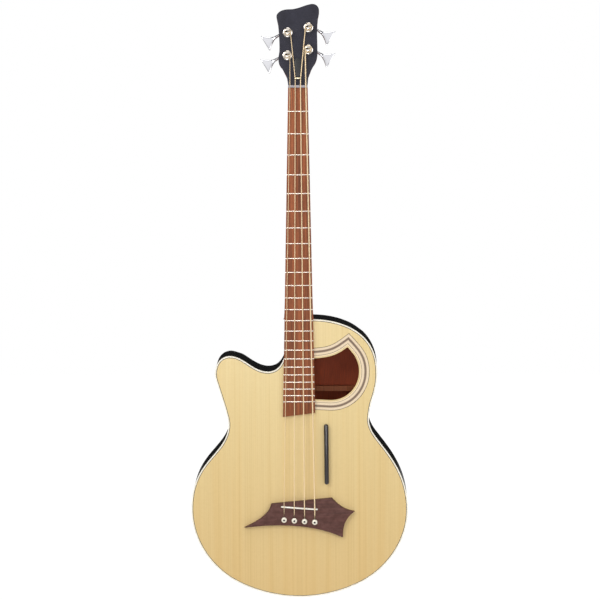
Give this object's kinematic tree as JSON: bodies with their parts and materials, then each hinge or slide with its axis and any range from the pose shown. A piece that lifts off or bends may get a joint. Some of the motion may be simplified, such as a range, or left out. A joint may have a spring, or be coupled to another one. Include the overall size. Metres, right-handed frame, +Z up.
{
  "type": "acoustic bass guitar",
  "caption": "Left-handed acoustic bass guitar: single-cutaway hollow body with an offset soundhole, long fretted neck and a tilted headstock with worm-geared machine heads.",
  "frame": {"origin": "where a hanger's yoke takes the headstock's flare: on the centre line, 20 mm above the end of the nut and 9 mm behind the front of the top", "axes": "+Z up along the neck towards the headstock, +Y into the depth from the top to the back, +X towards the bass side, which is on the right seen from the front"},
  "size_m": [0.4493, 0.1366, 1.2295],
  "materials": {
    "spruce_top": "satin lacquer",
    "spruce_brace": "bare",
    "mahogany": "bare inside, satin lacquer outside",
    "bridge_wood": "oiled",
    "fingerboard_wood": "oiled",
    "rosette_wood": "inlaid, satin lacquer",
    "black_lacquer": "high gloss lacquer",
    "black_satin": "satin lacquer",
    "black_plastic": "satin",
    "cream_plastic": "polished",
    "bone": "polished",
    "nut_plastic": "satin",
    "chrome": "polished plating",
    "steel": "plain",
    "gold": "polished",
    "string_bronze": "wound wire"
  },
  "bodies": {
    "guitar": {"top": "spruce_top", "back": "black_lacquer", "side_bass": "black_lacquer", "side_treble": "black_lacquer", "top_binding": "cream_plastic", "back_binding": "black_lacquer", "rosette": "rosette_wood", "neck_block": "mahogany", "tail_block": "mahogany", "top_lining_bass": "mahogany", "top_lining_treble": "mahogany", "back_lining_bass": "mahogany", "back_lining_treble": "mahogany", "x_brace_bass": "spruce_brace", "x_brace_treble": "spruce_brace", "tone_bar_upper": "spruce_brace", "tone_bar_lower": "spruce_brace", "fingerboard_patch": "spruce_brace", "bridge_plate": "bridge_wood", "back_strip": "spruce_brace", "back_brace_1": "spruce_brace", "back_brace_2": "spruce_brace", "back_brace_3": "spruce_brace", "back_brace_4": "spruce_brace", "bridge": "bridge_wood", "saddle": "bone", "bridge_pin_1": "cream_plastic", "bridge_pin_2": "cream_plastic", "bridge_pin_3": "cream_plastic", "bridge_pin_4": "cream_plastic", "thumb_rest": "black_plastic", "neck": "mahogany", "fingerboard": "fingerboard_wood", "nut": "nut_plastic", "truss_rod": "steel", "headstock_overlay": "black_satin", "truss_rod_cover": "black_plastic", "string_retainer": "gold", "string_1": "string_bronze", "string_2": "string_bronze", "string_3": "string_bronze", "string_4": "string_bronze", "tuner_1_housing": "chrome", "tuner_1_bushing": "chrome", "tuner_2_housing": "chrome", "tuner_2_bushing": "chrome", "tuner_3_housing": "chrome", "tuner_3_bushing": "chrome", "tuner_4_housing": "chrome", "tuner_4_bushing": "chrome"},
    "tuner_1_key": {"tuner_1_knob": "chrome"},
    "tuner_1_spindle": {"tuner_1_post": "chrome"},
    "tuner_2_key": {"tuner_2_knob": "chrome"},
    "tuner_2_spindle": {"tuner_2_post": "chrome"},
    "tuner_3_key": {"tuner_3_knob": "chrome"},
    "tuner_3_spindle": {"tuner_3_post": "chrome"},
    "tuner_4_key": {"tuner_4_knob": "chrome"},
    "tuner_4_spindle": {"tuner_4_post": "chrome"}
  },
  "joints": [
    {"name": "tuner_1_key_turn", "type": "hinge", "parent": "guitar", "child": "tuner_1_key", "pos_m": [-0.02496, 0.02241, 0.04718], "axis": [-0.8572, -0.0806, -0.5087], "continuous": true},
    {"name": "tuner_1_post_turn", "type": "hinge", "parent": "guitar", "child": "tuner_1_spindle", "pos_m": [-0.02161, 0.0005, 0.04501], "axis": [0, 0.9877, -0.1564], "continuous": true},
    {"name": "tuner_2_key_turn", "type": "hinge", "parent": "guitar", "child": "tuner_2_key", "pos_m": [-0.02418, 0.02976, 0.09358], "axis": [-0.8572, -0.0806, -0.5087], "continuous": true},
    {"name": "tuner_2_post_turn", "type": "hinge", "parent": "guitar", "child": "tuner_2_spindle", "pos_m": [-0.02083, 0.00785, 0.09141], "axis": [0, 0.9877, -0.1564], "continuous": true},
    {"name": "tuner_3_key_turn", "type": "hinge", "parent": "guitar", "child": "tuner_3_key", "pos_m": [0.02496, 0.03135, 0.10358], "axis": [0.8572, -0.0806, -0.5087], "continuous": true},
    {"name": "tuner_3_post_turn", "type": "hinge", "parent": "guitar", "child": "tuner_3_spindle", "pos_m": [0.02161, 0.00944, 0.10141], "axis": [0, 0.9877, -0.1564], "continuous": true},
    {"name": "tuner_4_key_turn", "type": "hinge", "parent": "guitar", "child": "tuner_4_key", "pos_m": [0.02461, 0.02426, 0.05882], "axis": [0.8572, -0.0806, -0.5087], "continuous": true},
    {"name": "tuner_4_post_turn", "type": "hinge", "parent": "guitar", "child": "tuner_4_spindle", "pos_m": [0.02127, 0.00235, 0.05665], "axis": [0, 0.9877, -0.1564], "continuous": true}
  ],
  "couplings": [
    {"joint": "tuner_1_post_turn", "follows": "tuner_1_key_turn", "ratio": 0.0625},
    {"joint": "tuner_2_post_turn", "follows": "tuner_2_key_turn", "ratio": 0.0625},
    {"joint": "tuner_3_post_turn", "follows": "tuner_3_key_turn", "ratio": -0.0625},
    {"joint": "tuner_4_post_turn", "follows": "tuner_4_key_turn", "ratio": -0.0625}
  ]
}
